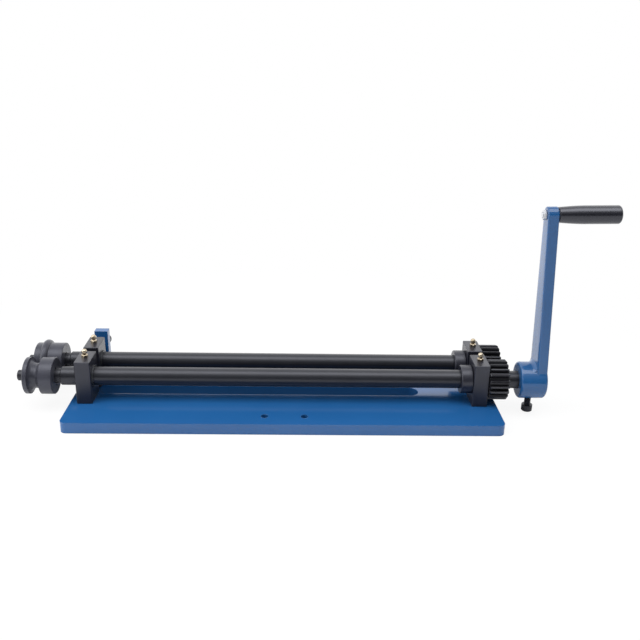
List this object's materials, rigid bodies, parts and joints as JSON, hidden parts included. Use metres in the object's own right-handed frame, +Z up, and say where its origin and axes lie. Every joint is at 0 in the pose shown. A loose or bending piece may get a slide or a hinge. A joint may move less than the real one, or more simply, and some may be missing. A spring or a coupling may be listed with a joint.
{
  "type": "bead roller",
  "caption": "Hand cranked bead roller: geared twin shafts with bead dies on a slotted deep-throat plate, swinging rear shaft with adjusting screw, and a crank with a turning grip.",
  "frame": {"origin": "underside of the frame plate, midway between the two bench holes", "axes": "+X along the shafts from the dies to the crank, +Y away from the bench-hole edge, +Z up through the plate"},
  "size_m": [0.6887, 0.172, 0.2565],
  "materials": {
    "blue_paint": "gloss",
    "black_steel": "satin, blackened",
    "shaft_steel": "satin, blackened",
    "die_steel": "satin, hardened and blackened",
    "black_screws": "satin, black oxide",
    "bush_steel": "satin, sintered and oiled",
    "brass": "polished, pale",
    "bright_steel": "ground",
    "zinc": "bright zinc",
    "dark_plastic": "gloss"
  },
  "bodies": {
    "frame": {"frame_plate": "blue_paint", "adjuster_bracket": "blue_paint", "front_left_block": "black_steel", "front_right_block": "black_steel", "front_left_bush": "bush_steel", "front_right_bush": "bush_steel", "front_grease_nipples": "brass", "front_block_screws": "black_screws"},
    "front_spindle": {"front_shaft": "shaft_steel", "front_collar": "black_steel", "front_collar_set_screw": "black_screws", "front_gear": "black_steel", "front_gear_key": "bright_steel", "female_die": "die_steel", "front_die_key": "bright_steel", "front_die_washer": "black_steel", "front_die_screw": "black_screws", "crank": "blue_paint", "crank_screw": "black_screws", "grip_spindle": "zinc", "spindle_nut": "zinc"},
    "grip": {"grip": "dark_plastic"},
    "rear_right_bearing": {"rear_right_block": "black_steel", "rear_right_bush": "bush_steel", "rear_right_grease_nipple": "brass", "rear_pivot_bolt": "black_screws"},
    "rear_spindle": {"rear_shaft": "shaft_steel", "rear_collar": "black_steel", "rear_collar_set_screw": "black_screws", "rear_gear": "black_steel", "rear_gear_key": "bright_steel", "male_die": "die_steel", "rear_die_key": "bright_steel", "rear_die_washer": "black_steel", "rear_die_screw": "black_screws"},
    "slide": {"slide_shoe": "bright_steel"},
    "rear_left_bearing": {"rear_left_block": "black_steel", "rear_left_bush": "bush_steel", "rear_left_grease_nipple": "brass", "rear_slide_bolt": "black_screws"},
    "adjuster": {"adjusting_screw": "black_screws"}
  },
  "joints": [
    {"name": "crank_turn", "type": "hinge", "parent": "frame", "child": "front_spindle", "pos_m": [0, 0.044, 0.0415], "axis": [1, 0, 0], "continuous": true},
    {"name": "grip_spin", "type": "hinge", "parent": "front_spindle", "child": "grip", "pos_m": [0.33609, 0.044, 0.24534], "axis": [0.9998, 0, 0.0209], "continuous": true},
    {"name": "rear_swing", "type": "hinge", "parent": "frame", "child": "rear_right_bearing", "pos_m": [0.232, 0.088, 0.0415], "axis": [0, 0, -1], "range_deg": [0, 0.98]},
    {"name": "rear_spin", "type": "hinge", "parent": "rear_right_bearing", "child": "rear_spindle", "pos_m": [0, 0.088, 0.0415], "axis": [1, 0, 0], "continuous": true},
    {"name": "block_slide", "type": "slide", "parent": "frame", "child": "slide", "axis": [0, 1, 0], "range_m": [0, 0.008]},
    {"name": "block_tilt", "type": "hinge", "parent": "slide", "child": "rear_left_bearing", "pos_m": [-0.2355, 0.088, 0.0415], "axis": [0, 0, -1], "range_deg": [0, 0.98]},
    {"name": "screw_turn", "type": "hinge", "parent": "slide", "child": "adjuster", "pos_m": [-0.2355, 0.15, 0.0455], "axis": [0, 1, 0], "range_deg": [0, 2304]}
  ],
  "couplings": [
    {"joint": "rear_spin", "follows": "crank_turn", "ratio": -1},
    {"joint": "block_slide", "follows": "rear_swing", "m_per_rad": 0.4675},
    {"joint": "block_tilt", "follows": "rear_swing", "ratio": 1},
    {"joint": "screw_turn", "follows": "rear_swing", "ratio": 2349.9}
  ]
}
